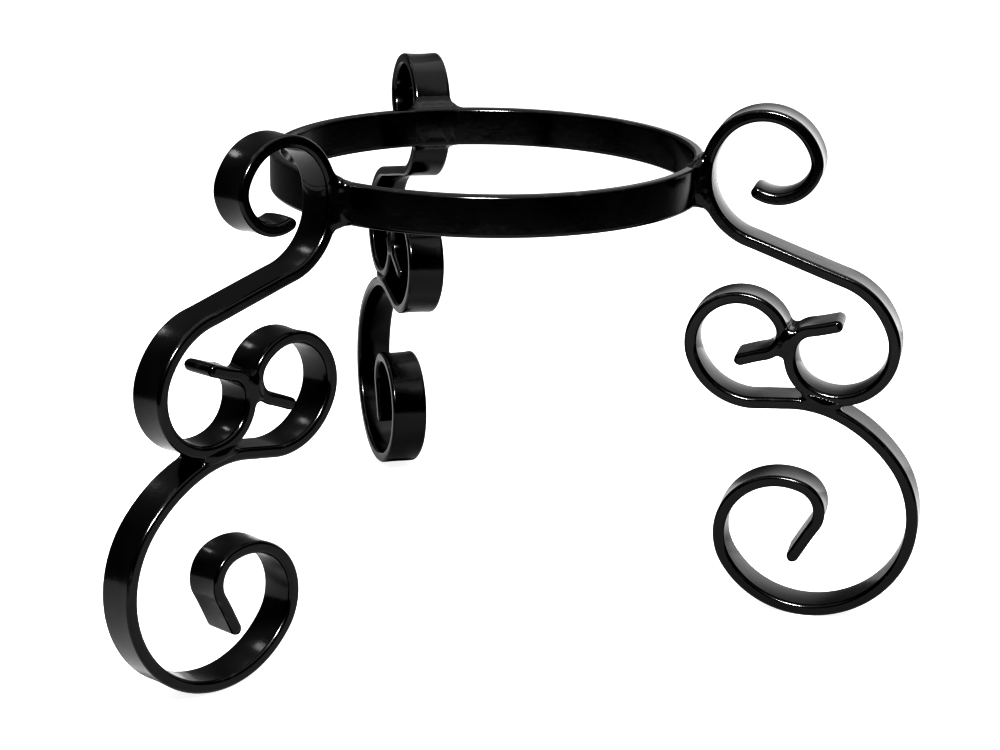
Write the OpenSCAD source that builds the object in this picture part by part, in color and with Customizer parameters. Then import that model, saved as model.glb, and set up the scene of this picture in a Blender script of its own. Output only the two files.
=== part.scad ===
// Three-legged scroll stand of bent flat bar, welded and painted.
// Frame: origin on the ring's axis at mid height of its band, +Z up,
// +X along leg a. Legs b and c follow at 120 and 240 degrees.
// Millimetres.

/* [Bar stock] */
// width of the flat bar
bar_w = 20; // [16:1:25]
// thickness of the flat bar
bar_t = 6; // [4:0.5:8]
// size of the broken edges along the bar
edge = 1; // [0.4:0.1:1.5]

/* [Ring] */
// outside diameter of the ring
ring_od = 216; // [200:1:240]

/* [Legs] */
// number of legs around the ring
legs = 3; // [3:1:3]
// radial offset of the upper scroll's start from the ring's outer face
upper_start_r = 28.9; // [28:0.1:32]
// height of the upper scroll's start against the middle of the ring
upper_start_z = -5; // [-8:0.5:0]
// direction the upper scroll starts in
upper_start_dir = -26; // [-40:1:-10]
// radial offset of the lower scroll's start from the ring's outer face
lower_start_r = 28; // [26:0.1:30]
// depth of the lower scroll's start below the middle of the ring
lower_start_z = 89.9; // [86:0.1:94]
// direction the lower scroll starts in
lower_start_dir = 21; // [10:0.5:30]

/* [Leg setting] */
// swing of leg a away from the ring's axis
leg_swing_a = -2.5; // [-6:0.5:6]
// swing of leg b away from the ring's axis
leg_swing_b = 4.5; // [-6:0.5:6]
// swing of leg c away from the ring's axis
leg_swing_c = 3; // [-6:0.5:6]
// lean of leg a along the ring
leg_lean_a = 0.5; // [-3:0.5:3]
// lean of leg b along the ring
leg_lean_b = 1; // [-3:0.5:3]
// lean of leg c along the ring
leg_lean_c = 2; // [-3:0.5:3]
// height leg a is set up by
leg_drop_a = 4.9; // [-8:0.1:8]
// height leg b is set up by
leg_drop_b = -3.8; // [-8:0.1:8]
// height leg c is set up by
leg_drop_c = -1.7; // [-8:0.1:8]

/* [Foot curls] */
// radius of the big bend of leg a's foot curl
curl_r_a = 29.6; // [26:0.1:31]
// radius of the big bend of leg b's foot curl
curl_r_b = 28; // [26:0.1:31]
// radius of the big bend of leg c's foot curl
curl_r_c = 26.8; // [26:0.1:31]
// straight tip of leg a's foot curl
curl_tip_a = 20; // [14:0.1:22]
// straight tip of leg b's foot curl
curl_tip_b = 20; // [14:0.1:22]
// straight tip of leg c's foot curl
curl_tip_c = 18.7; // [14:0.1:22]

/* [Weld] */
// radius of the beads between ring and leg
ring_bead_r = 4.6; // [3:0.1:5.5]
// radius of the beads between the two scrolls
bead_r = 3.4; // [2.5:0.1:4.5]
// how far a bead stops short of the bar's faces
bead_inset = 0.6; // [0:0.1:2]

/* [View] */
// which piece to draw

/* [Hidden] */
$fn = 144;
ring_r = ring_od / 2;
// every other piece of a bent bar is drawn this much thinner all round, and
// laps this far into the pieces before and after it
slack = 0.01;
lap = 0.2;
// each leg: [radius, angle] is a bend, positive to the left; [0, length] is straight
upper_run = [[19, 99.5], [13.2, 34.5], [26, 124.5], [33, 110.5], [0, 51],
             [-39.5, 50.5], [-27, 134.5], [-20.5, 76], [-11, 64.5], [0, 14]];
function lower_run(k) =
    [[0, 13], [11, 103.5], [23, 73], [23.7, 96], [32.3, 73],
     [0, 15.5], [-54, 29], [-74, 27.5], [-50.9, 132], [-47.5, 52.5],
     [-curl_r[k], 146], [-13.7, 96.5], [0, curl_tip[k]]];
curl_r = [curl_r_a, curl_r_b, curl_r_c];
curl_tip = [curl_tip_a, curl_tip_b, curl_tip_c];
// where the upper scroll bears on the ring, in the leg's plane
touch = [ring_r, 2];
// each hand-set leg swings out about that point, leans along the ring
// and sits up or down by as much as brings all three feet level
leg_swing = [leg_swing_a, leg_swing_b, leg_swing_c];
leg_lean = [leg_lean_a, leg_lean_b, leg_lean_c];
leg_drop = [leg_drop_a, leg_drop_b, leg_drop_c];
upper_start = [ring_r + upper_start_r, upper_start_z, upper_start_dir];
lower_start = [ring_r + lower_start_r, -lower_start_z, lower_start_dir];

// ---- turtle along the middle of the bar: [along, up, heading]
function turn_centre(s, R) = [s[0] - R * sin(s[2]), s[1] + R * cos(s[2])];
function after(s, seg) =
    seg[0] == 0
    ? [s[0] + seg[1] * cos(s[2]), s[1] + seg[1] * sin(s[2]), s[2]]
    : let (c = turn_centre(s, seg[0]),
           h = s[2] + sign(seg[0]) * seg[1])
      [c[0] + seg[0] * sin(h), c[1] - seg[0] * cos(h), h];
function state(s, run, n) = n == 0 ? s : after(state(s, run, n - 1), run[n - 1]);
// middle of the bar part way through bend n
function point(s, run, n, part) =
    let (q = state(s, run, n), seg = run[n])
    after(q, [seg[0], seg[1] * part]);

// bar section, x across the thickness, y across the width, drawn thin by d
module bar_section(d = 0, x0 = -1) {
    w = bar_w / 2 - d;
    t = bar_t / 2 - d;
    polygon(x0 < 0
        ? [[-t, -w + edge], [-t + edge, -w], [t - edge, -w], [t, -w + edge],
           [t, w - edge], [t - edge, w], [-t + edge, w], [-t, w - edge]]
        : [[0, -w], [t - edge, -w], [t, -w + edge], [t, w - edge],
           [t - edge, w], [0, w]]);
}

// one bend or straight, starting at the origin and heading along +X;
// a slim one laps into both its neighbours
module bar_piece(seg, slim) {
    d = slim ? slack : 0;
    r = abs(seg[0]);
    e = slim ? (r == 0 ? lap : lap / r * 180 / PI) : 0;
    if (r == 0)
        translate([-e, 0, 0]) rotate([90, 0, 90])
            linear_extrude(seg[1] + 2 * e) bar_section(d);
    else if (seg[0] > 0)
        translate([0, r, 0]) rotate([0, 0, -90 - e])
            rotate_extrude(angle = seg[1] + 2 * e)
                translate([r, 0]) bar_section(d);
    else
        translate([0, -r, 0]) rotate([0, 0, 90 - seg[1] - e])
            rotate_extrude(angle = seg[1] + 2 * e)
                translate([r, 0]) bar_section(d);
}

// half-round end of a bar; the bar lies along +X from it
module bar_end(slim) {
    translate([slim ? lap : 0, 0, 0]) rotate([0, 0, 90])
        rotate_extrude(angle = 180) bar_section(slim ? slack : 0, 0);
}

// a bent bar in the plane of its scroll, width along Z
module bent_bar(start, run) {
    n = len(run);
    for (i = [0 : n - 1]) {
        s = state(start, run, i);
        translate([s[0], s[1], 0]) rotate([0, 0, s[2]])
            bar_piece(run[i], i % 2 == 0);
    }
    translate([start[0], start[1], 0]) rotate([0, 0, start[2]])
        bar_end(false);
    e = state(start, run, n);
    translate([e[0], e[1], 0]) rotate([0, 0, e[2] + 180])
        bar_end(n % 2 == 0);
}

// stand the scroll's plane up and set it to its leg
module to_leg(k) {
    rotate([0, 0, 360 / legs * k]) rotate([90 + leg_lean[k], 0, 0])
        translate([touch[0], touch[1] + leg_drop[k], 0])
            rotate([0, 0, leg_swing[k]])
                translate([-touch[0], -touch[1], 0]) children();
}

module upper_scroll(k) { to_leg(k) bent_bar(upper_start, upper_run); }
module lower_scroll(k) { to_leg(k) bent_bar(lower_start, lower_run(k)); }

module ring_hoop() {
    rotate_extrude() translate([ring_r - bar_t / 2, 0]) bar_section();
}

// bead up the corner between the ring's outer face and the edge of the leg
module ring_bead(k, side) {
    h = bar_w / 2 - bead_inset;
    difference() {
        rotate([0, 0, 360 / legs * k])
            translate([ring_r + 0.6, side * (bar_w / 2 - 0.4), 0])
                rotate_extrude() polygon([
                    [0, -h], [ring_bead_r * 0.72, -h + 0.5],
                    [ring_bead_r, -h + 2.2], [ring_bead_r, h - 2.2],
                    [ring_bead_r * 0.72, h - 0.5], [0, h]]);
        ring_hoop();
        upper_scroll(k);
    }
}

// bead along the notch where the two scrolls lie side by side
module notch_bead(k, at, r) {
    difference() {
        to_leg(k) translate([at[0], at[1], 0])
            cylinder(r = r, h = bar_w - 2 * bead_inset, center = true);
        upper_scroll(k);
        lower_scroll(k);
    }
}

// notch positions: above and below the back-to-back contact, and either
// side of the place where the upper scroll sits on the lower one
tail_high = [159.6, -73.9];
tail_low = [156.9, -83.9];
belly_in = [169.2, -104.7];
belly_out = [187, -107.9];

module tail_bead(k, at) { notch_bead(k, at, bead_r); }
module belly_bead(k, at) { notch_bead(k, at, bead_r); }

module ring() { color([0.02, 0.02, 0.022]) ring_hoop(); }
module upper_scroll_a() { color([0.02, 0.02, 0.022]) upper_scroll(0); }
module upper_scroll_b() { color([0.02, 0.02, 0.022]) upper_scroll(1); }
module upper_scroll_c() { color([0.02, 0.02, 0.022]) upper_scroll(2); }
module lower_scroll_a() { color([0.02, 0.02, 0.022]) lower_scroll(0); }
module lower_scroll_b() { color([0.02, 0.02, 0.022]) lower_scroll(1); }
module lower_scroll_c() { color([0.02, 0.02, 0.022]) lower_scroll(2); }
module ring_bead_a_left() { color([0.04, 0.04, 0.042]) ring_bead(0, 1); }
module ring_bead_a_right() { color([0.04, 0.04, 0.042]) ring_bead(0, -1); }
module ring_bead_b_left() { color([0.04, 0.04, 0.042]) ring_bead(1, 1); }
module ring_bead_b_right() { color([0.04, 0.04, 0.042]) ring_bead(1, -1); }
module ring_bead_c_left() { color([0.04, 0.04, 0.042]) ring_bead(2, 1); }
module ring_bead_c_right() { color([0.04, 0.04, 0.042]) ring_bead(2, -1); }
module tail_bead_a_high() { color([0.04, 0.04, 0.042]) tail_bead(0, tail_high); }
module tail_bead_a_low() { color([0.04, 0.04, 0.042]) tail_bead(0, tail_low); }
module tail_bead_b_high() { color([0.04, 0.04, 0.042]) tail_bead(1, tail_high); }
module tail_bead_b_low() { color([0.04, 0.04, 0.042]) tail_bead(1, tail_low); }
module tail_bead_c_high() { color([0.04, 0.04, 0.042]) tail_bead(2, tail_high); }
module tail_bead_c_low() { color([0.04, 0.04, 0.042]) tail_bead(2, tail_low); }
module belly_bead_a_inner() { color([0.04, 0.04, 0.042]) belly_bead(0, belly_in); }
module belly_bead_a_outer() { color([0.04, 0.04, 0.042]) belly_bead(0, belly_out); }
module belly_bead_b_inner() { color([0.04, 0.04, 0.042]) belly_bead(1, belly_in); }
module belly_bead_b_outer() { color([0.04, 0.04, 0.042]) belly_bead(1, belly_out); }
module belly_bead_c_inner() { color([0.04, 0.04, 0.042]) belly_bead(2, belly_in); }
module belly_bead_c_outer() { color([0.04, 0.04, 0.042]) belly_bead(2, belly_out); }

ring();
upper_scroll_a();
upper_scroll_b();
upper_scroll_c();
lower_scroll_a();
lower_scroll_b();
lower_scroll_c();
ring_bead_a_left();
ring_bead_a_right();
ring_bead_b_left();
ring_bead_b_right();
ring_bead_c_left();
ring_bead_c_right();
tail_bead_a_high();
tail_bead_a_low();
tail_bead_b_high();
tail_bead_b_low();
tail_bead_c_high();
tail_bead_c_low();
belly_bead_a_inner();
belly_bead_a_outer();
belly_bead_b_inner();
belly_bead_b_outer();
belly_bead_c_inner();
belly_bead_c_outer();
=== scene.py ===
import math

import bpy
import numpy as np
from mathutils import Matrix, Vector, noise


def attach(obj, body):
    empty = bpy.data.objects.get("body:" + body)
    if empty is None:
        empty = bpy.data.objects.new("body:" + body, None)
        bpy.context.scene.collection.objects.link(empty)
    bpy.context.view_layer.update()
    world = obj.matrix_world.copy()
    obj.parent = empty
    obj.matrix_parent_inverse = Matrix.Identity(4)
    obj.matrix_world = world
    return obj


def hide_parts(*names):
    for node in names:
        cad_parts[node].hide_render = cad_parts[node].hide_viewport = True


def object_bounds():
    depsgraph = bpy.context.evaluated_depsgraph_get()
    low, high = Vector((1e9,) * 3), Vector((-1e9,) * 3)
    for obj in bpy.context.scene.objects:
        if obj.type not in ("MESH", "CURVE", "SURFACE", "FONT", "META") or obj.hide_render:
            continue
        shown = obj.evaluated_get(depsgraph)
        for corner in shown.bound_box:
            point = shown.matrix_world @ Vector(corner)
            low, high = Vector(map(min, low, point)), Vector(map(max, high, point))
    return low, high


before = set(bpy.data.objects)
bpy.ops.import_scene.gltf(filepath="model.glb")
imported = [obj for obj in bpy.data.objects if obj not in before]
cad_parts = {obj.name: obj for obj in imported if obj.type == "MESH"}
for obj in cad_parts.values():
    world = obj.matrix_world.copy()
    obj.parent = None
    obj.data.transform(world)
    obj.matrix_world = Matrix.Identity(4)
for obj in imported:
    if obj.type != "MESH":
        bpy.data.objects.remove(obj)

CAD_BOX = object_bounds()
MM = 0.001

# ------------------------------------------------------------------ the stand
BAR_W, BAR_T = 20.0, 6.0          # flat bar, mm
RING_R = 108.0                    # outside radius of the ring
TOUCH = (108.0, 2.0)
SWING = (-2.5, 4.5, 3.0)
LEAN = (0.5, 1.0, 2.0)
DROP = (4.9, -3.8, -1.7)
UPPER = ((136.9, -5.0, -26.0),
         [(19, 99.5), (13.2, 34.5), (26, 124.5), (33, 110.5), (0, 51),
          (-39.5, 50.5), (-27, 134.5), (-20.5, 76), (-11, 64.5), (0, 14)])
CURL_R = (29.6, 28.0, 26.8)       # each foot curl is bent by hand
CURL_TIP = (20.0, 20.0, 18.7)


def lower(k):
    return ((136.0, -89.9, 21.0),
            [(0, 13), (11, 103.5), (23, 73), (23.7, 96), (32.3, 73), (0, 15.5),
             (-54, 29), (-74, 27.5), (-50.9, 132), (-47.5, 52.5), (-CURL_R[k], 146),
             (-13.7, 96.5), (0, CURL_TIP[k])])


TAIL = np.array([158.3, -78.9])   # back-to-back contact of the two scrolls
BELLY = np.array([178.1, -105.9])  # the upper scroll sits on the lower one


def turtle(start, run, step):
    """Middle of the bar: points, headings in radians."""
    x, y, h = start[0], start[1], math.radians(start[2])
    pts, heads = [(x, y)], [h]
    for radius, amount in run:
        if radius == 0:
            n = max(2, int(math.ceil(amount / step)))
            for i in range(1, n + 1):
                pts.append((x + amount * i / n * math.cos(h), y + amount * i / n * math.sin(h)))
                heads.append(h)
            x, y = pts[-1]
        else:
            turn = math.copysign(math.radians(amount), radius)
            n = max(3, int(math.ceil(abs(radius * turn) / step)))
            cx, cy = x - radius * math.sin(h), y + radius * math.cos(h)
            for i in range(1, n + 1):
                hh = h + turn * i / n
                pts.append((cx + radius * math.sin(hh), cy - radius * math.cos(hh)))
                heads.append(hh)
            x, y = pts[-1]
            h += turn
    return np.array(pts), np.array(heads)


def leg_to_world(k, r, z, s):
    """Arrays in the leg's plane (mm, s across the bar) to the frame (mm)."""
    th, l, a = (math.radians(v) for v in (SWING[k], LEAN[k], 120 * k))
    dx, dz = r - TOUCH[0], z - TOUCH[1]
    rr = TOUCH[0] + dx * math.cos(th) - dz * math.sin(th)
    zz = TOUCH[1] + DROP[k] + dx * math.sin(th) + dz * math.cos(th)
    ss = s * math.cos(l) - zz * math.sin(l)
    z2 = zz * math.cos(l) + s * math.sin(l)
    return np.stack([rr * math.cos(a) - ss * math.sin(a),
                     rr * math.sin(a) + ss * math.cos(a), z2], -1)


def world_to_leg(k, p):
    th, l, a = (math.radians(v) for v in (SWING[k], LEAN[k], 120 * k))
    x, y, z = p[..., 0], p[..., 1], p[..., 2]
    u = x * math.cos(a) + y * math.sin(a)
    v = -x * math.sin(a) + y * math.cos(a)
    s = v * math.cos(l) + z * math.sin(l)
    q = z * math.cos(l) - v * math.sin(l)
    dx, dz = u - TOUCH[0], q - (TOUCH[1] + DROP[k])
    return (dx * math.cos(th) + dz * math.sin(th) + TOUCH[0],
            -dx * math.sin(th) + dz * math.cos(th) + TOUCH[1], s)


# --------------------------------------------------------------- bar section
RC = 1.9                          # radius of the bar's painted corners
CROWN = 0.05                      # rolled bar is a little full in the middle of its flats
SAG = 0.85                        # a tight bend dishes the bar across its width


def section(half_t, half_w, rc=RC, n=6):
    """Rounded rectangle, as (t, w) points, outward normals and how near a corner."""
    pts, nrm, edge = [], [], []
    for qt, qw, a0 in ((1, 1, 0), (-1, 1, 90), (-1, -1, 180), (1, -1, 270)):
        for i in range(n + 1):
            a = math.radians(a0 + 90 * i / n)
            pts.append((qt * (half_t - rc) + rc * math.cos(a), qw * (half_w - rc) + rc * math.sin(a)))
            nrm.append((math.cos(a), math.sin(a)))
            edge.append(math.sin(math.pi * i / n))
        # a loop either side of the middle of the next flat keeps quads even
    out_p, out_n, out_e = [], [], []
    m = len(pts)
    for i in range(m):
        out_p.append(pts[i]); out_n.append(nrm[i]); out_e.append(edge[i])
        j = (i + 1) % m
        d = math.hypot(pts[j][0] - pts[i][0], pts[j][1] - pts[i][1])
        if d > 2:
            k = 9 if d > 8 else 2
            for q in range(1, k):
                f = q / k
                out_p.append((pts[i][0] * (1 - f) + pts[j][0] * f, pts[i][1] * (1 - f) + pts[j][1] * f))
                out_n.append(nrm[i]); out_e.append(0.0)
    p, nr, e = np.array(out_p), np.array(out_n), np.array(out_e)
    # crown of the two wide flats: nothing at the corners, most in the middle
    u = np.clip(p[:, 1] / (half_w - rc), -1, 1)
    wide = np.abs(nr[:, 0])
    p[:, 0] += np.sign(p[:, 0]) * CROWN * (1 - u * u) * wide - np.sign(p[:, 0]) * CROWN * 0.6 * wide
    slope = 2 * CROWN * u / (half_w - rc) * wide
    nr[:, 1] += slope * np.abs(nr[:, 0])
    nr /= np.linalg.norm(nr, axis=1)[:, None]
    return p, nr, e


def make_mesh(name, verts_mm, faces, normals=None, attrs=None):
    me = bpy.data.meshes.new(name)
    me.from_pydata([tuple(v) for v in np.asarray(verts_mm) * MM], [], faces)
    me.validate()
    me.polygons.foreach_set("use_smooth", [True] * len(me.polygons))
    for key, vals in (attrs or {}).items():
        at = me.attributes.new(key, "FLOAT", "POINT")
        at.data.foreach_set("value", np.asarray(vals, np.float32))
    me.update()
    if normals is not None:
        me.normals_split_custom_set_from_vertices([tuple(n) for n in normals])
    ob = bpy.data.objects.new(name, me)
    bpy.context.scene.collection.objects.link(ob)
    return ob


def smooth_noise(x, seed, scale):
    """Slow 1-D wander, -1 to 1, always the same."""
    return np.array([noise.noise(Vector((v / scale, seed * 7.31, 0.5))) for v in x])


def dishing(path, head):
    """How far the bar dishes at each point; curvature is eased over a few millimetres."""
    seg = np.r_[0, np.cumsum(np.hypot(*np.diff(path, axis=0).T))]
    step = seg[-1] / (len(seg) - 1)
    even = np.interp(np.arange(0, seg[-1], step), seg, head)
    curv = np.gradient(even) / step
    w = int(round(8 / step))
    span = np.exp(-0.5 * (np.arange(-w, w + 1) * step / 3.4) ** 2)
    curv = np.convolve(np.pad(curv, w, mode="edge"), span / span.sum(), "valid")
    curv = np.interp(seg, np.arange(0, seg[-1], step), curv)
    return SAG * np.clip(curv * 20, -1.0, 1.0)


def bent_bar(name, k, start, run, seed):
    path, head = turtle(start, run, 1.3)
    seg = np.r_[0, np.cumsum(np.hypot(*np.diff(path, axis=0).T))]
    sp, sn, se = section(BAR_T / 2, BAR_W / 2)
    m = len(sp)
    wander = 0.07 * smooth_noise(seg, seed, 23.0)     # hand-bent bar is never quite flat
    twist = 0.006 * smooth_noise(seg, seed + 3, 60.0)
    sag = dishing(path, head)
    rows_p, rows_n, rows_e = [], [], []
    t_h = BAR_T / 2

    def add(point, hd, fwd, phi, wob, tw, dish):
        """One ring of the section; phi turns the end over into a half round."""
        c, s_ = math.cos(phi), math.sin(phi)
        t = sp[:, 0] * c
        trim = 1.15 * (1 - c)
        w = sp[:, 1] - np.sign(sp[:, 1]) * trim * np.minimum(1, np.abs(sp[:, 1]) / (BAR_W / 2 - RC))
        x = t_h * s_
        u = sp[:, 1] / (BAR_W / 2)
        t2 = t + tw * w + wob - dish * (u * u - 0.33)
        dirx, diry = math.cos(hd), math.sin(hd)
        r = point[0] + fwd * x * dirx - t2 * diry
        z = point[1] + fwd * x * diry + t2 * dirx
        rows_p.append(np.stack([r, z, w], -1))
        nt, nw = sn[:, 0] * c, (sn[:, 1] + sn[:, 0] * 2 * dish * u / (BAR_W / 2)) * c
        nx = fwd * np.maximum(s_, 0) * np.ones(m)
        nr = nx * dirx - nt * diry
        nz = nx * diry + nt * dirx
        v = np.stack([nr, nz, nw], -1)
        rows_n.append(v / np.maximum(np.linalg.norm(v, axis=1), 1e-9)[:, None])
        rows_e.append(np.maximum(se, s_))

    caps = [math.radians(a) for a in (84, 74, 62, 50, 38, 26, 13)]
    for phi in caps:
        add(path[0], head[0], -1, phi, wander[0], twist[0], sag[0])
    for i in range(len(path)):
        add(path[i], head[i], 1, 0.0, wander[i], twist[i], sag[i])
    for phi in reversed(caps):
        add(path[-1], head[-1], 1, phi, wander[-1], twist[-1], sag[-1])
    n = len(rows_p)
    P = np.concatenate(rows_p)
    N = np.concatenate(rows_n)
    E = np.concatenate(rows_e)
    W = leg_to_world(k, P[:, 0], P[:, 1], P[:, 2])
    W0 = leg_to_world(k, P[:, 0] + N[:, 0], P[:, 1] + N[:, 1], P[:, 2] + N[:, 2])
    NW = W0 - W
    faces = []
    for i in range(n - 1):
        a, b = i * m, (i + 1) * m
        for j in range(m):
            j2 = (j + 1) % m
            faces.append((a + j, a + j2, b + j2, b + j))
    faces.append(tuple(range(m - 1, -1, -1)))
    faces.append(tuple((n - 1) * m + j for j in range(m)))
    # outward: flip everything if the first side face looks inwards
    f0 = faces[(len(caps) + 20) * m]
    a, b, c = (W[q] for q in f0[:3])
    if np.dot(np.cross(b - a, c - a), NW[f0[0]]) < 0:
        faces = [tuple(reversed(f)) for f in faces]
    return make_mesh(name, W, faces, NW, {"edge": E})


def ring_hoop(name):
    sp, sn, se = section(BAR_T / 2, BAR_W / 2)
    m, n = len(sp), 300
    ang = np.linspace(0, 2 * math.pi, n, endpoint=False)
    out_r = 0.16 * np.array([noise.noise(Vector((1.6 * math.cos(a), 1.6 * math.sin(a), 4.2))) for a in ang])
    P, N, E = [], [], []
    for i, a in enumerate(ang):
        r = RING_R - BAR_T / 2 + sp[:, 0] + out_r[i]
        P.append(np.stack([r * math.cos(a), r * math.sin(a), sp[:, 1]], -1))
        N.append(np.stack([sn[:, 0] * math.cos(a), sn[:, 0] * math.sin(a), sn[:, 1]], -1))
        E.append(se)
    P, N, E = np.concatenate(P), np.concatenate(N), np.concatenate(E)
    faces = []
    for i in range(n):
        a, b = i * m, ((i + 1) % n) * m
        for j in range(m):
            j2 = (j + 1) % m
            faces.append((a + j, a + j2, b + j2, b + j))
    f0 = faces[0]
    a, b, c = (P[q] for q in f0[:3])
    if np.dot(np.cross(b - a, c - a), N[f0[0]]) < 0:
        faces = [tuple(reversed(f)) for f in faces]
    return make_mesh(name, P, faces, N, {"edge": E})


# -------------------------------------------------------------------- welds
def box2(a, b, ha, hb, rc):
    """Signed distance to a rounded rectangle."""
    qa, qb = np.abs(a) - (ha - rc), np.abs(b) - (hb - rc)
    return (np.hypot(np.maximum(qa, 0), np.maximum(qb, 0))
            + np.minimum(np.maximum(qa, qb), 0) - rc)


PATHS = {}
for _name, _run in (("upper", UPPER), ("lower", lower(1))):
    _p, _h = turtle(*_run, 1.2)
    PATHS[_name] = np.column_stack([_p, dishing(_p, _h)])


def path_distance(r, z, which, near):
    p = PATHS[which]
    p = p[np.hypot(p[:, 0] - near[0], p[:, 1] - near[1]) < 31]
    d = np.full(r.shape, 1e9)
    left = np.zeros(r.shape)
    dish = np.zeros(r.shape)
    for i in range(len(p) - 1):
        a, e = p[i], p[i + 1] - p[i]
        ll = float(e[:2] @ e[:2])
        if ll < 1e-9 or ll > 4:
            continue
        x, y = r - a[0], z - a[1]
        t = np.clip((x * e[0] + y * e[1]) / ll, 0, 1)
        q = np.hypot(x - t * e[0], y - t * e[1])
        nearer = q < d
        d = np.where(nearer, q, d)
        left = np.where(nearer, np.sign(e[0] * y - e[1] * x), left)
        dish = np.where(nearer, a[2], dish)
    return d * left, dish


def bar_sdf(r, z, s, which, near):
    t, dish = path_distance(r, z, which, near)
    u = np.clip(s / (BAR_W / 2), -1.2, 1.2)
    return box2(t + dish * (u * u - 0.33), s, BAR_T / 2, BAR_W / 2, RC)


def ring_sdf(p):
    return box2(np.hypot(p[..., 0], p[..., 1]) - (RING_R - BAR_T / 2), p[..., 2], BAR_T / 2, BAR_W / 2, RC)


def surface_nets(F, origin, h):
    """Closed quad mesh of F < 0 on a regular grid."""
    inside = F < 0
    nx, ny, nz = F.shape
    c = np.zeros((nx - 1, ny - 1, nz - 1), np.int32)
    acc = np.zeros((nx - 1, ny - 1, nz - 1, 3))
    cnt = np.zeros((nx - 1, ny - 1, nz - 1))
    for axis in range(3):
        a = [slice(None)] * 3; b = [slice(None)] * 3
        a[axis], b[axis] = slice(0, -1), slice(1, None)
        f0, f1 = F[tuple(a)], F[tuple(b)]
        cross = (f0 < 0) != (f1 < 0)
        t = np.where(cross, f0 / np.where(cross, f0 - f1, 1.0), 0.0)
        others = [q for q in range(3) if q != axis]
        for d1 in (0, 1):
            for d2 in (0, 1):
                sl = [slice(None)] * 3
                sl[others[0]] = slice(d1, F.shape[others[0]] - 1 + d1)
                sl[others[1]] = slice(d2, F.shape[others[1]] - 1 + d2)
                cc, tt = cross[tuple(sl)], t[tuple(sl)]
                off = [0.0, 0.0, 0.0]
                off[others[0]], off[others[1]] = d1, d2
                for q in range(3):
                    val = tt if q == axis else off[q]
                    acc[..., q] += np.where(cc, val, 0.0)
                cnt += cc
    has = cnt > 0
    idx = np.full(has.shape, -1, np.int64)
    idx[has] = np.arange(has.sum())
    ijk = np.argwhere(has)
    verts = origin + (ijk + acc[has] / cnt[has][:, None]) * h
    faces = []
    for axis in range(3):
        a = [slice(None)] * 3; b = [slice(None)] * 3
        a[axis], b[axis] = slice(0, -1), slice(1, None)
        cross = inside[tuple(a)] != inside[tuple(b)]
        o1, o2 = [q for q in range(3) if q != axis]
        for e in np.argwhere(cross):
            if e[o1] == 0 or e[o2] == 0 or e[o1] >= F.shape[o1] - 1 or e[o2] >= F.shape[o2] - 1:
                continue
            q = []
            for d1, d2 in ((0, 0), (1, 0), (1, 1), (0, 1)):
                v = e.copy(); v[o1] -= d1; v[o2] -= d2
                q.append(int(idx[tuple(v)]))
            if min(q) < 0:
                continue
            flip = inside[tuple(e)] != (axis == 1)
            faces.append(tuple(q) if flip else tuple(reversed(q)))
    return verts, faces


def smin(a, b, k):
    h = np.maximum(k - np.abs(a - b), 0) / k
    return np.minimum(a, b) - h * h * k / 4


def lumps(p, seed, size):
    flat = p.reshape(-1, 3)
    out = np.fromiter((noise.noise(Vector((v[0] / size + seed, v[1] / size, v[2] / size))) for v in flat), float, len(flat))
    return out.reshape(p.shape[:-1])


def weld(name, da, db, grid, k, side, seed, h, swell):
    """Weld metal: what a smooth union of two bars adds to them, on one side of a cut."""
    # lumpy metal: noise on a coarse grid is cheap and is interpolated
    g = grid[::3, ::3, ::3]
    coarse = lumps(g, seed, 3.1)
    ii = [np.clip(np.arange(n) / 3.0, 0, m - 1.001) for n, m in zip(grid.shape[:3], coarse.shape)]
    lum = coarse
    for ax in range(3):
        lo = np.floor(ii[ax]).astype(int); f = ii[ax] - lo
        hi = np.minimum(lo + 1, lum.shape[ax] - 1)
        shape = [1, 1, 1]; shape[ax] = -1
        lum = np.take(lum, lo, ax) * (1 - f.reshape(shape)) + np.take(lum, hi, ax) * f.reshape(shape)
    both = smin(da, db, k)
    blend = np.minimum(da, db) - both
    share = np.clip(blend / (k / 4), 0, 1)
    both = both - share * (swell + 0.2 * lum)
    plain = np.minimum(da, db)
    F = np.maximum(both + 0.02, -(plain + 0.6))
    F = np.maximum(F, 0.05 - blend)
    F = np.maximum(F, side)
    # the grid's outer layer is always outside, so that the mesh closes
    for ax in range(3):
        sl = [slice(None)] * 3
        for end in (0, -1):
            sl[ax] = end
            F[tuple(sl)] = np.maximum(F[tuple(sl)], 0.3)
    verts, faces = surface_nets(F, grid[0, 0, 0], h)
    return verts, faces


def finish_weld(name, verts, faces):
    ob = make_mesh(name, verts, faces)
    import bmesh
    bm = bmesh.new(); bm.from_mesh(ob.data)
    bm.verts.ensure_lookup_table()
    # keep the one big piece, drop crumbs
    seen, groups = set(), []
    for v in bm.verts:
        if v.index in seen:
            continue
        stack, grp = [v], []
        seen.add(v.index)
        while stack:
            q = stack.pop(); grp.append(q)
            for e in q.link_edges:
                o = e.other_vert(q)
                if o.index not in seen:
                    seen.add(o.index); stack.append(o)
        groups.append(grp)
    groups.sort(key=len, reverse=True)
    drop = [v for g in groups[1:] if len(g) < 0.12 * len(groups[0]) for v in g]
    bmesh.ops.delete(bm, geom=drop, context="VERTS")
    for _ in range(3):
        bmesh.ops.smooth_vert(bm, verts=bm.verts, factor=0.5, use_axis_x=True, use_axis_y=True, use_axis_z=True)
    bmesh.ops.recalc_face_normals(bm, faces=bm.faces)
    bm.to_mesh(ob.data); bm.free()
    ob.data.polygons.foreach_set("use_smooth", [True] * len(ob.data.polygons))
    at = ob.data.attributes.new("edge", "FLOAT", "POINT")
    at.data.foreach_set("value", np.full(len(ob.data.vertices), 0.35, np.float32))
    ob.data.update()
    return ob


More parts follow.
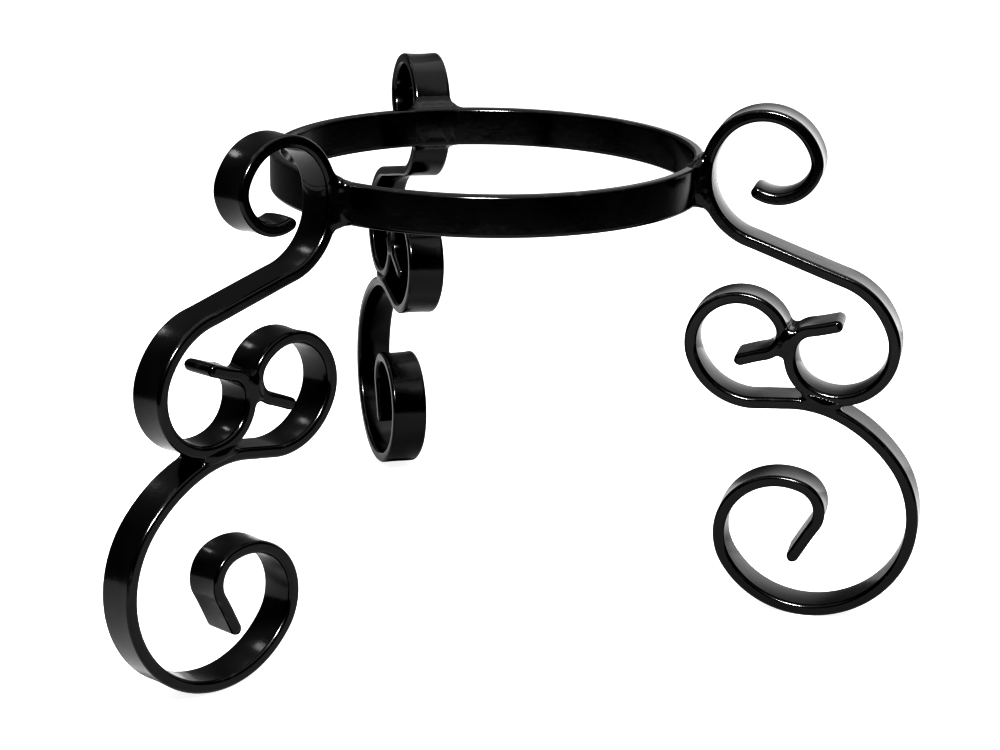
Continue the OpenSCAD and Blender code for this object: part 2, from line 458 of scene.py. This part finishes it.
def regular(lo, hi, h):
    ax = [np.arange(lo[i], hi[i] + h, h) for i in range(3)]
    return np.stack(np.meshgrid(*ax, indexing="ij"), -1)


# ------------------------------------------------------------------ material
def paint(name, base, seed, weld_metal=False):
    m = bpy.data.materials.new(name)
    m.use_nodes = True
    nt = m.node_tree
    nt.nodes.clear()
    N, L = nt.nodes.new, nt.links.new
    out = N("ShaderNodeOutputMaterial")
    b = N("ShaderNodeBsdfPrincipled")
    L(b.outputs[0], out.inputs[0])
    b.inputs["IOR"].default_value = 1.5
    b.inputs["Specular IOR Level"].default_value = 0.5
    tc = N("ShaderNodeTexCoord")

    def tex(scale, detail, rough=0.5):
        t = N("ShaderNodeTexNoise")
        t.noise_dimensions = "4D"
        t.inputs["W"].default_value = seed
        t.inputs["Scale"].default_value = scale
        t.inputs["Detail"].default_value = detail
        t.inputs["Roughness"].default_value = rough
        L(tc.outputs["Object"], t.inputs["Vector"])
        return t

    def mapr(src, a, b_, c, d):
        r = N("ShaderNodeMapRange")
        r.inputs[1].default_value, r.inputs[2].default_value = a, b_
        r.inputs[3].default_value, r.inputs[4].default_value = c, d
        L(src, r.inputs[0])
        return r.outputs[0]

    def math_(op, a, b_):
        q = N("ShaderNodeMath"); q.operation = op
        for i, v in enumerate((a, b_)):
            if isinstance(v, (int, float)):
                q.inputs[i].default_value = v
            else:
                L(v, q.inputs[i])
        return q.outputs[0]

    edge = N("ShaderNodeAttribute"); edge.attribute_name = "edge"
    # colour: near-black, a touch browner and paler where the coat is thin on the corners
    worn = math_("MULTIPLY", mapr(edge.outputs["Fac"], 0.35, 1.0, 0.0, 1.0), mapr(tex(120, 4, 0.6).outputs["Fac"], 0.56, 0.72, 0.0, 1.0))
    mix = N("ShaderNodeMix"); mix.data_type = "RGBA"
    mix.inputs["A"].default_value = (*base, 1)
    mix.inputs["B"].default_value = (0.035, 0.034, 0.033, 1)
    L(worn, mix.inputs["Factor"])
    mott = N("ShaderNodeMix"); mott.data_type = "RGBA"; mott.blend_type = "MULTIPLY"
    mott.inputs["Factor"].default_value = 1.0
    ramp = N("ShaderNodeValToRGB")
    ramp.color_ramp.elements[0].position = 0.3
    ramp.color_ramp.elements[0].color = (0.55, 0.55, 0.56, 1)
    ramp.color_ramp.elements[1].position = 0.72
    ramp.color_ramp.elements[1].color = (1.35, 1.34, 1.32, 1)
    L(tex(55, 5, 0.6).outputs["Fac"], ramp.inputs[0])
    L(mix.outputs["Result"], mott.inputs["A"])
    L(ramp.outputs[0], mott.inputs["B"])
    L(mott.outputs["Result"], b.inputs["Base Color"])
    # gloss: clean enamel with duller handled patches and fine dust nibs
    rough = math_("ADD", mapr(tex(30, 3).outputs["Fac"], 0.3, 0.75, 0.11, 0.2), math_("MULTIPLY", worn, 0.12))
    rough = math_("ADD", rough, mapr(tex(900, 2).outputs["Fac"], 0.45, 0.8, 0.0, 0.06))
    L(rough, b.inputs["Roughness"])
    # relief: slow waves in the bar, orange peel, nibs
    waves = N("ShaderNodeBump"); waves.inputs["Distance"].default_value = 0.0006
    waves.inputs["Strength"].default_value = 0.35 if not weld_metal else 0.4
    L(tex(60, 2).outputs["Fac"], waves.inputs["Height"])
    peel = N("ShaderNodeBump"); peel.inputs["Distance"].default_value = 0.00012
    peel.inputs["Strength"].default_value = 0.20
    L(tex(520, 2, 0.5).outputs["Fac"], peel.inputs["Height"])
    L(waves.outputs[0], peel.inputs["Normal"])
    nibs = N("ShaderNodeBump"); nibs.inputs["Distance"].default_value = 0.00008
    nibs.inputs["Strength"].default_value = 0.25
    v = N("ShaderNodeTexVoronoi"); v.inputs["Scale"].default_value = 420
    L(tc.outputs["Object"], v.inputs["Vector"])
    L(mapr(v.outputs["Distance"], 0.0, 0.16, 1.0, 0.0), nibs.inputs["Height"])
    L(peel.outputs[0], nibs.inputs["Normal"])
    L(nibs.outputs[0], b.inputs["Normal"])
    return m


PAINT = [paint("black_paint_%d" % i, (0.0028, 0.0028, 0.003), 1.7 + 3.1 * i) for i in range(3)]
PAINT_WELD = paint("black_paint_weld", (0.003, 0.003, 0.0033), 9.2, True)


def place(ob, node, mat):
    ob.data.materials.clear()
    ob.data.materials.append(mat)
    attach(ob, "root")
    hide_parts(node)


# -------------------------------------------------------------------- pieces
place(ring_hoop("ring_hoop"), "ring", PAINT[0])
for k, leg in enumerate("abc"):
    place(bent_bar("upper_bar_" + leg, k, *UPPER, seed=11 + k), "upper_scroll_" + leg, PAINT[k])
    place(bent_bar("lower_bar_" + leg, k, *lower(k), seed=21 + k), "lower_scroll_" + leg, PAINT[(k + 1) % 3])

H = 0.36
for k, leg in enumerate("abc"):
    # ring to leg: each side of the middle of the leg
    g = regular((96, -21, -18), (126, 21, 18), H)
    a = math.radians(120 * k)
    rot = np.array([[math.cos(a), -math.sin(a), 0], [math.sin(a), math.cos(a), 0], [0, 0, 1]])
    gw = g @ rot.T
    r, z, s = world_to_leg(k, gw)
    da, db = ring_sdf(g), bar_sdf(r, z, s, "upper", (111, 2))
    for side, sg in (("left", 1), ("right", -1)):
        v, f = weld("w", da, db, g, 8.8, -sg * s - 1.2, 3.3 + k, H, 0.4)
        ob = finish_weld("ring_weld_%s_%s" % (leg, side), v @ rot.T, f)
        place(ob, "ring_bead_%s_%s" % (leg, side), PAINT_WELD)
    # scroll to scroll
    for kind, at, halves in (("tail", TAIL, ("high", "low")), ("belly", BELLY, ("inner", "outer"))):
        ex = (13, 12, 13) if kind == "tail" else (19, 12, 11)
        g = regular((at[0] - ex[0], -12.5, at[1] - ex[2]), (at[0] + ex[0], 12.5, at[1] + ex[2]), H)
        flat_r, flat_z = g[:, :1, :, 0], g[:, :1, :, 2]
        da = bar_sdf(flat_r, flat_z, g[..., 1], "upper", at)
        db = bar_sdf(flat_r, flat_z, g[..., 1], "lower", at)
        if kind == "tail":
            cut = (g[..., 2] - at[1]) * 1.0 + (g[..., 0] - at[0]) * 0.2
            sides = (-cut - 1.2, cut - 1.2)
        else:
            cut = g[..., 0] - at[0]
            sides = (cut - 1.2, -cut - 1.2)
        for half, sd in zip(halves, sides):
            v, f = weld("w", da, db, g, 5.4 if kind == "tail" else 4.4, sd, 5.1 + k * 1.7, H, 0.2 if kind == "tail" else 0.06)
            w = leg_to_world(k, v[:, 0], v[:, 2], v[:, 1])
            ob = finish_weld("%s_weld_%s_%s" % (kind, leg, half), w, f)
            place(ob, "%s_bead_%s_%s" % (kind, leg, half), PAINT_WELD)

# --------------------------------------------------------------------- stage
low = CAD_BOX[0].z
me = bpy.data.meshes.new("floor")
rim = [(0.8 * math.cos(math.radians(a)), 0.8 * math.sin(math.radians(a)), low - 0.0002) for a in range(0, 360, 3)]
me.from_pydata(rim, [], [tuple(range(len(rim)))])
floor = bpy.data.objects.new("floor", me)
bpy.context.scene.collection.objects.link(floor)
fm = bpy.data.materials.new("floor_white")
fm.use_nodes = True
fb = fm.node_tree.nodes["Principled BSDF"]
fb.inputs["Base Color"].default_value = (0.6, 0.6, 0.6, 1)
fb.inputs["Roughness"].default_value = 0.9
fb.inputs["Specular IOR Level"].default_value = 0.1
# over-exposed to the camera, as the photograph's floor is, without lighting the stand
fl = fm.node_tree.nodes.new("ShaderNodeLightPath")
fe = fm.node_tree.nodes.new("ShaderNodeMath"); fe.operation = "MULTIPLY"
fe.inputs[1].default_value = 0.66
fm.node_tree.links.new(fl.outputs["Is Camera Ray"], fe.inputs[0])
fb.inputs["Emission Color"].default_value = (1, 1, 1, 1)
fm.node_tree.links.new(fe.outputs[0], fb.inputs["Emission Strength"])
me.materials.append(fm)

world = bpy.data.worlds.new("studio")
bpy.context.scene.world = world
world.use_nodes = True
nt = world.node_tree
nt.nodes.clear()
wo = nt.nodes.new("ShaderNodeOutputWorld")
bg = nt.nodes.new("ShaderNodeBackground")
nt.links.new(bg.outputs[0], wo.inputs[0])
bg.inputs[0].default_value = (1, 1, 1, 1)


def wn(kind, **ins):
    n = nt.nodes.new(kind)
    for key, val in ins.items():
        if key in ("operation", "interpolation_type"):
            setattr(n, key, val)
    return n


# a white sweep behind the stand, dimmer room to the sides, above and in front
gen = wn("ShaderNodeTexCoord")
flat = wn("ShaderNodeVectorMath", operation="MULTIPLY"); flat.inputs[1].default_value = (1, 1, 0)
unit = wn("ShaderNodeVectorMath", operation="NORMALIZE")
dot = wn("ShaderNodeVectorMath", operation="DOT_PRODUCT")
dot.inputs[1].default_value = (math.cos(math.radians(72)), math.sin(math.radians(72)), 0)
nt.links.new(gen.outputs["Generated"], flat.inputs[0])
nt.links.new(flat.outputs[0], unit.inputs[0])
nt.links.new(unit.outputs[0], dot.inputs[0])
around = wn("ShaderNodeMapRange", interpolation_type="SMOOTHSTEP")
for q, v in zip((1, 2, 3, 4), (0.78, 1.0, 0.0, 1.0)):
    around.inputs[q].default_value = v
nt.links.new(dot.outputs["Value"], around.inputs[0])
sep = wn("ShaderNodeSeparateXYZ")
nt.links.new(gen.outputs["Generated"], sep.inputs[0])
high = wn("ShaderNodeMapRange", interpolation_type="SMOOTHSTEP")
for q, v in zip((1, 2, 3, 4), (0.2, 0.65, 1.0, 0.3)):
    high.inputs[q].default_value = v
nt.links.new(sep.outputs[2], high.inputs[0])
mul = wn("ShaderNodeMath", operation="MULTIPLY")
nt.links.new(around.outputs[0], mul.inputs[0])
nt.links.new(high.outputs[0], mul.inputs[1])
room = wn("ShaderNodeMath", operation="MULTIPLY_ADD")
room.inputs[1].default_value = 1.12
room.inputs[2].default_value = 0.24
nt.links.new(mul.outputs[0], room.inputs[0])
# a little light from the ceiling
top = wn("ShaderNodeMapRange", interpolation_type="SMOOTHSTEP")
for q, v in zip((1, 2, 3, 4), (0.45, 0.78, 0.24, 0.6)):
    top.inputs[q].default_value = v
nt.links.new(sep.outputs[2], top.inputs[0])
nt.links.new(top.outputs[0], room.inputs[2])
path = wn("ShaderNodeLightPath")
seen = wn("ShaderNodeMix")
seen.inputs["B"].default_value = 1.1
nt.links.new(path.outputs["Is Camera Ray"], seen.inputs["Factor"])
nt.links.new(room.outputs[0], seen.inputs["A"])
nt.links.new(seen.outputs["Result"], bg.inputs[1])


def area(name, loc, target, size, power, size_y=None):
    d = bpy.data.lights.new(name, "AREA")
    d.energy = power
    d.size = size
    if size_y:
        d.shape = "RECTANGLE"; d.size_y = size_y
    o = bpy.data.objects.new(name, d)
    o.location = loc
    o.rotation_mode = "QUATERNION"
    o.rotation_quaternion = (Vector(target) - Vector(loc)).to_track_quat("-Z", "Y")
    bpy.context.scene.collection.objects.link(o)
    return o


def towards(az, el, dist):
    a, e = math.radians(az), math.radians(el)
    return (dist * math.cos(a) * math.cos(e), dist * math.sin(a) * math.cos(e), dist * math.sin(e) - 0.08)


area("side_box", towards(167, 44, 2.0), (0, 0, -0.08), 0.24, 1.0).data.diffuse_factor = 0.3
area("front_box", towards(281, 42, 2.0), (0, 0, -0.08), 0.50, 62.0, 0.20).data.diffuse_factor = 0.15
fill = area("overhead", (0, 0, 1.7), (0, 0, 0), 2.6, 18.0)
fill.data.specular_factor = 0.0

# -------------------------------------------------------------------- camera
AZ, EL, ROLL = math.radians(103.7537), math.radians(17.432), math.radians(0.9551)
fw = Vector((math.cos(AZ) * math.cos(EL), math.sin(AZ) * math.cos(EL), -math.sin(EL)))
rt0 = Vector((math.sin(AZ), -math.cos(AZ), 0))
up0 = rt0.cross(fw)
rt = math.cos(ROLL) * rt0 + math.sin(ROLL) * up0
up = -math.sin(ROLL) * rt0 + math.cos(ROLL) * up0
cam = bpy.data.cameras.new("camera")
cam.sensor_width = 36
cam.lens = 2279.25 * 36 / 1000
co = bpy.data.objects.new("camera", cam)
co.matrix_world = Matrix(((rt.x, up.x, -fw.x, 0.272984), (rt.y, up.y, -fw.y, -1.081483), (rt.z, up.z, -fw.z, 0.241702), (0, 0, 0, 1)))
bpy.context.scene.collection.objects.link(co)
bpy.context.scene.camera = co
bpy.context.scene.view_settings.view_transform = "Standard"
bpy.context.scene.view_settings.look = "None"
# deep blacks and a clean white floor, as in a product photograph
vs = bpy.context.scene.view_settings
vs.use_curve_mapping = True
vs.curve_mapping.black_level = (0.014, 0.014, 0.014)
vs.curve_mapping.white_level = (0.74, 0.74, 0.74)
tone = vs.curve_mapping.curves[3]
for x, y in ((0.08, 0.022), (0.2, 0.09), (0.4, 0.25), (0.7, 0.64)):
    tone.points.new(x, y)
vs.curve_mapping.update()

bpy.context.view_layer.update()
